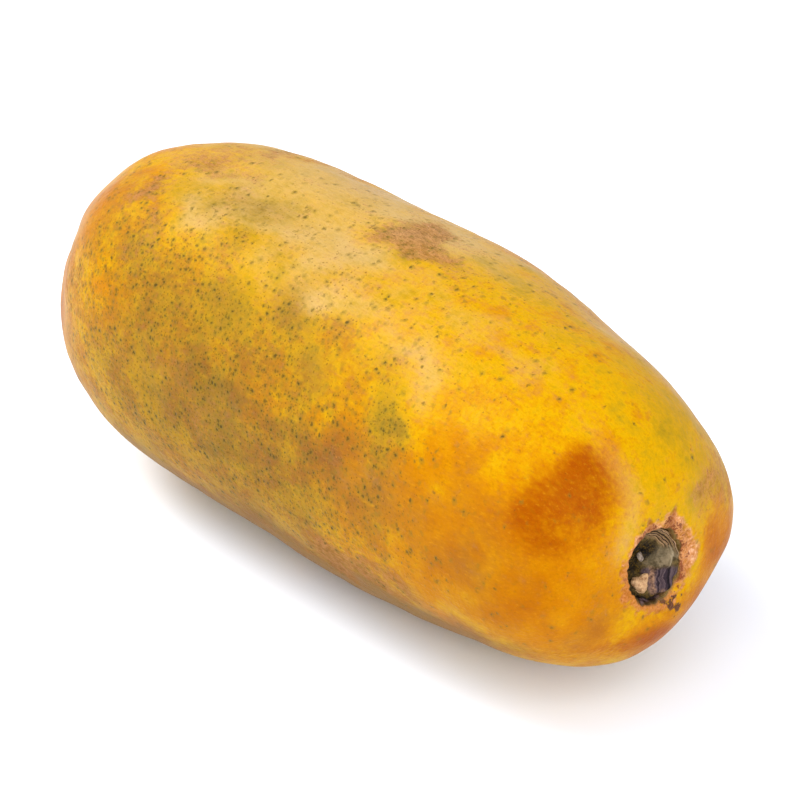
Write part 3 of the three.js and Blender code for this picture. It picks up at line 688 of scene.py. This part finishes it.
# the cup: straight lines from its deepest point, where part is 0, to its edge, where it is 1
edge_depth, edge_radius = stump_edge(stump_angle)
part = np.linspace(1, CUP_MIDDLE, CUP_STEPS)[:, None]
cup_y = DEEPEST_Y + part * (edge_radius * np.cos(stump_angle) - DEEPEST_Y)
cup_z = DEEPEST_Z + part * (edge_radius * np.sin(stump_angle) - DEEPEST_Z)
cup_depth = DEEPEST + part**CUP_POWER * (edge_depth - DEEPEST)
cup_depth -= PLATE_HEIGHT * bell(np.hypot(cup_y - PLATE_Y, cup_z - PLATE_Z), PLATE_RADIUS) * (1 - part**3)
flat_points = np.stack(np.broadcast_arrays(0 * cup_y, cup_y, cup_z), -1)
crumple, flutter = ripples(flat_points, 21, 3.2), ripples(flat_points, 22, 1.4)


def patches(places):
    """The sum of round bells on the cup, each stretched across and up, times its strength."""
    return sum(strength * bell(np.hypot((cup_y - y) / wide, (cup_z - z) / high), radius)
               for y, z, wide, high, radius, strength in places)


def edge_patch(place, low, high):
    """A bell round the cup, which rises towards its edge between two parts of the way."""
    centre, spread, strength = place
    return strength * ease(part, low, high) * bell(turned(stump_angle, centre), spread)


# where the cup is plate, pleats, rings, dark middle with painted shade, fold and pale streak
plate = patches(PLATE_PATCHES)
pleats = ease(-cup_z, *PLEATS_DOWN) * ease(cup_y + PLEATS_SLANT * cup_z, *PLEATS_ACROSS)
rings = ease(part, *RINGS_ZONE) * ease(np.cos(turned(stump_angle, RINGS_ANGLE)), *RINGS_SIDE)
murk = patches(MURK_PATCHES) + edge_patch(MURKY_EDGE, 0.8, 1)
lean = cup_y - PLEATS_LEAN * (cup_z + 6) + 0.15 * crumple  # pleats hang down from the plate
fold = bell(cup_y - FOLD_Y + FOLD_BEND * (cup_z - 1.5) ** 2, FOLD_WIDTH) * bell(cup_z - FOLD_Z, FOLD_LENGTH)
streak = bell(lean - STREAK_Y, STREAK_WIDTH) + edge_patch(STREAKED_EDGE, 0.86, 0.99)

# and the relief that they make, in mm, which dies away at the edge
fade = 1 - part**6
cup_depth += fade * (CRUMPLE * crumple + FLUTTER * flutter)
ring_wave = np.cos(2 * math.pi * (1 - part) * RINGS + 1.5 * crumple)
cup_depth += rings * RING_HEIGHT * ring_wave * (1 - part**20)
for pitch, height in PLEATS:
    cup_depth += pleats * height * np.cos(2 * math.pi * lean / pitch) * fade
cup_depth -= FOLD_HEIGHT * fold * fade
cup_depth += WAVY_EDGE * bell(part - 1, 0.05) * ripples(flat_points, 23, 4.5)
side_depth = FOOT_DEPTH + np.linspace(0, SIDE_END, SIDE_STEPS)[:, None] * (cup_depth[:1] - FOOT_DEPTH)
foot_radius = np.linspace(*FOOT_SCALES, BASE_STEPS)[:, None] * rim_radius(stump_angle)
stump_rows = np.concatenate([
    ring_of(HOLLOW_DEPTHS[-1] - STUMP_GAP, foot_radius),
    ring_of(side_depth, wall_scale(side_depth) * rim_radius(stump_angle) - STUMP_GAP),
    in_hollow_frame(cup_depth, cup_y, cup_z)])


def on_cup(field, below=0.0):
    """A cup's field on the whole stump, with one value below its edge."""
    under = np.full((BASE_STEPS + SIDE_STEPS, STUMP_ROUND), below)
    return np.concatenate([under, np.broadcast_to(field, cup_y.shape)])


stump = closed_mesh(
    "stalk_stump", stump_rows,
    plate=on_cup(plate), pleats=on_cup(pleats), rings=on_cup(rings), murk=on_cup(murk),
    part=on_cup(part, 1.0), lean=on_cup(lean), fold=on_cup(fold), streak=on_cup(streak))

RING_TONES = (
    (0.3, tone(50, 36, 22)), (0.4, tone(104, 84, 42)), (0.46, tone(172, 134, 98)), (0.51, tone(80, 62, 40)),
    (0.57, tone(120, 98, 56)), (0.64, tone(178, 140, 106)), (0.72, tone(56, 40, 26)))
RIB_TONES = (
    (0.34, tone(24, 17, 21)), (0.45, tone(54, 43, 49)), (0.52, tone(92, 76, 76)), (0.6, tone(52, 41, 48)),
    (0.7, tone(112, 92, 84)))
WOOD_TONES, PLATE_TONES = (tone(40, 30, 16), tone(98, 80, 42)), (tone(70, 60, 40), tone(124, 108, 82))
FOLD_TONE, STREAK_TONES = tone(150, 134, 106), (tone(92, 68, 56), tone(156, 120, 94))
MURK_TONES = (tone(14, 9, 6), tone(92, 70, 22))

shader, here = paint(stump, "dry_stump", {"Specular IOR Level": 0.12})
broad, middling, fine = here.cloud(4, 2), here.cloud(1.5, 3), here.cloud(0.5, 2)
colour = (middling + fine * 0.5).rise(-1.2, 1.2).over(*WOOD_TONES)
ring_bands = (here.field("part") * 16 + middling * 0.2 + broad * 0.4).bands(2.0)
ringed = (here.field("rings") + middling * 0.12).rise(0.2, 0.7)
colour = ringed.over(colour, ring_bands.ramp(RING_TONES))
smooth = (here.field("plate") + middling * 0.12 + broad * 0.14).rise(0.25, 0.85)
colour = smooth.over(colour, (broad + fine * 0.4 + middling * 0.7).rise(-1.3, 1.2).over(*PLATE_TONES))
creased = (here.field("fold") + middling * 0.1).rise(0.3, 0.9)
colour = (creased * 0.7).over(colour, FOLD_TONE)
rib_bands = (here.field("lean") * 0.8 + middling * 0.1 + broad * 0.22 + fine * 0.04).bands(3.0)
paler = (here.field("streak") + rib_bands * 1.2 - 0.6 + middling * 0.2).rise(0.3, 1.1)
ribbed = paler.over(rib_bands.ramp(RIB_TONES), (fine + middling).rise(-1.2, 1.2).over(*STREAK_TONES))
pleated = (here.field("pleats") + middling * 0.2 + broad * 0.2).rise(0.2, 0.85)
colour = pleated.over(colour, ribbed)
# dark tissue at the middle, darkened further as painted shade in the crevice and at the lower edge
dark = (here.field("murk") + middling * 0.2 + broad * 0.12).rise(0.15, 0.8)
colour = (dark * 0.94).over(colour, (middling + fine).rise(-0.4, 1.6).over(*MURK_TONES))
relief = rib_bands * pleated * 0.7 + ring_bands * ringed * 0.6 + middling * 0.2 + fine * 0.1
roughness = 0.7 - smooth * 0.16 + fine * 0.04
wire_up(shader, colour, roughness, relief * (1 - smooth * 0.5), depth_mm=0.5)
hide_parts("stem_stump")
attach(stump, "root")

# ---------------------------------------------------------------------------------------------------
# Pith.  A pale three-lobed lump of dried pith low in the cup and a small grey one at its middle, both
# grown fast to it.
# ---------------------------------------------------------------------------------------------------
LUMP_STEPS, LUMP_ROUND, POLE_GAP = 44, 64, 0.04
KNOB_PLACE, KNOB_RADIUS, KNOB_SEED = (5.9, -0.7, -6.9), 1.9, 31  # a place is depth, across and up
KNOB_LOBES = (  # direction, height, sharpness
    ((0.2, 1, 0.75), 1.7, 8), ((0.2, -1, 0.7), 1.8, 7), ((0.2, -0.1, -1), 1.2, 2.5), ((1, 0, -0.2), 0.5, 2.0))
PITH_NUB_PLACE, PITH_NUB_RADIUS, PITH_NUB_SEED = (6.8, -0.2, 1.6), 0.75, 41
PITH_NUB_LOBES = (((0.4, -0.4, 1), 1.2, 4), ((0.4, 0.5, -1), 1.0, 3))
COARSE_WRINKLE, FINE_WRINKLE = 0.045, 0.02  # parts of the radius


def lump(name, centre, radius, lobes, seed):
    """A closed lump: a sphere's radius plus an exponential bulge towards each lobe and a fine wrinkle."""
    down = np.linspace(POLE_GAP, math.pi - POLE_GAP, LUMP_STEPS)[:, None]
    turn = np.arange(LUMP_ROUND)[None] * 2 * math.pi / LUMP_ROUND
    ray = (-np.cos(down), np.sin(down) * np.cos(turn), np.sin(down) * np.sin(turn))
    ray = np.stack(np.broadcast_arrays(*ray), -1)
    reach = radius * np.ones(ray.shape[:2])
    for toward, height, sharpness in lobes:
        toward = np.array(toward) / np.linalg.norm(toward)
        reach = reach + height * np.exp(sharpness * (ray @ toward - 1))
    wrinkle = COARSE_WRINKLE * ripples(ray, seed, 0.7) + FINE_WRINKLE * ripples(ray, seed + 1, 0.3)
    return closed_mesh(name, ray * (reach * (1 + wrinkle))[..., None] + in_hollow_frame(*centre))


knob = lump("pith_knob", KNOB_PLACE, KNOB_RADIUS, KNOB_LOBES, KNOB_SEED)
nub = lump("pith_nub", PITH_NUB_PLACE, PITH_NUB_RADIUS, PITH_NUB_LOBES, PITH_NUB_SEED)
KNOB_TONES = (tone(140, 98, 62), tone(198, 158, 114))
NUB_TONES = (tone(52, 40, 34), tone(156, 138, 120))
for piece, tones in ((knob, KNOB_TONES), (nub, NUB_TONES)):
    shader, here = paint(piece, piece.name + "_pith", {"Specular IOR Level": 0.3})
    middling, fine = here.cloud(1.3, 3), here.cloud(0.4, 2)
    colour = (middling + fine * 0.6).rise(-1.3, 0.7).over(*tones)
    wire_up(shader, colour, 0.68 + fine * 0.04, middling * 0.3 + fine * 0.15, depth_mm=0.4)
    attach(piece, "root")

# ---------------------------------------------------------------------------------------------------
# Floor, light and camera.  A matt white floor in a pale studio whose sky is dim behind the fruit, three
# softboxes for its long highlights and soft shadow, and a long lens that looks down at the stem end.
# ---------------------------------------------------------------------------------------------------
FLOOR_SIZE = 8  # metres, as are all the sizes below
FLOOR_FINISH = {"Base Color": (0.87, 0.92, 0.97, 1), "Roughness": 0.9, "Specular IOR Level": 0.1}
SKY_COLOUR, SKY_STRENGTH = (1, 0.985, 1.06, 1), 1.05
HORIZON_SHARE, FULL_FROM = 0.5, 0.4  # the sky's strength at the horizon, and how high up it is full
DIM_SIDE, DIM_EDGE, DIM_HEIGHTS, DIMMING = (-0.79, 0.61, 0), (0.3, 0.75), (0.32, 0.55), 0.8
SOFTBOXES = (  # name, place, the point it faces, width, height, power in watts
    ("key", (-0.88, -0.48, 1.1), (0, 0, 0.05), 0.6, 0.6, 15.5),
    ("fill", (0.95, -0.8, 1.1), (0, 0, 0.05), 1.2, 0.9, 11.5),
    ("end_light", (1.2, -0.3, 0.45), (0.1, 0, 0.05), 0.5, 0.5, 5),
)
AZIMUTH, ELEVATION, DISTANCE = math.radians(52), math.radians(28.5), 0.959
AIM_RIGHT, AIM_DOWN = 0.0044, 0.0024  # from the middle of the fruit to the middle of the frame
LENS_MM, SENSOR_MM = 135, 36

bpy.ops.mesh.primitive_plane_add(size=FLOOR_SIZE)
floor = bpy.context.object
floor.name = "floor"
paint(floor, "white_floor", FLOOR_FINISH)

world = bpy.data.worlds.new("studio")
bpy.context.scene.world = world
world.use_nodes = True
background = world.node_tree.nodes["Background"]
heading = Wire(world.node_tree).node("ShaderNodeTexCoord", {}, {}, "Generated")
facing = heading.node(
    "ShaderNodeVectorMath", {"operation": "DOT_PRODUCT"}, {0: heading, 1: DIM_SIDE}, "Value")
climb = heading.node("ShaderNodeSeparateXYZ", {}, {"Vector": heading}, "Z")
dim = facing.rise(*DIM_EDGE) * climb.rise(*DIM_HEIGHTS)
strength = (1 - dim * DIMMING) * (climb.rise(0.0, FULL_FROM) * (1 - HORIZON_SHARE) + HORIZON_SHARE)
background.inputs["Color"].default_value = SKY_COLOUR
world.node_tree.links.new((strength * SKY_STRENGTH).socket, background.inputs["Strength"])

for name, place, aim, width, height, power in SOFTBOXES:
    light = bpy.data.lights.new(name, "AREA")
    light.shape = "RECTANGLE"
    light.size, light.size_y, light.energy = width, height, power
    lamp = bpy.data.objects.new(name, light)
    lamp.location = place
    lamp.rotation_euler = (Vector(aim) - Vector(place)).to_track_quat("-Z", "Y").to_euler()
    bpy.context.scene.collection.objects.link(lamp)

right = Vector((math.cos(AZIMUTH), math.sin(AZIMUTH), 0))
toward_camera = Vector((
    math.sin(AZIMUTH) * math.cos(ELEVATION), -math.cos(AZIMUTH) * math.cos(ELEVATION), math.sin(ELEVATION)))
up = toward_camera.cross(right)
eye = Vector(MIDDLE) * MM + right * AIM_RIGHT - up * AIM_DOWN + toward_camera * DISTANCE
lens = bpy.data.cameras.new("camera")
lens.lens, lens.sensor_width = LENS_MM, SENSOR_MM
camera = bpy.data.objects.new("camera", lens)
camera.matrix_world = Matrix.Translation(eye) @ Matrix((right, up, toward_camera)).transposed().to_4x4()
bpy.context.scene.collection.objects.link(camera)
bpy.context.scene.camera = camera
bpy.context.scene.view_settings.view_transform = "Standard"
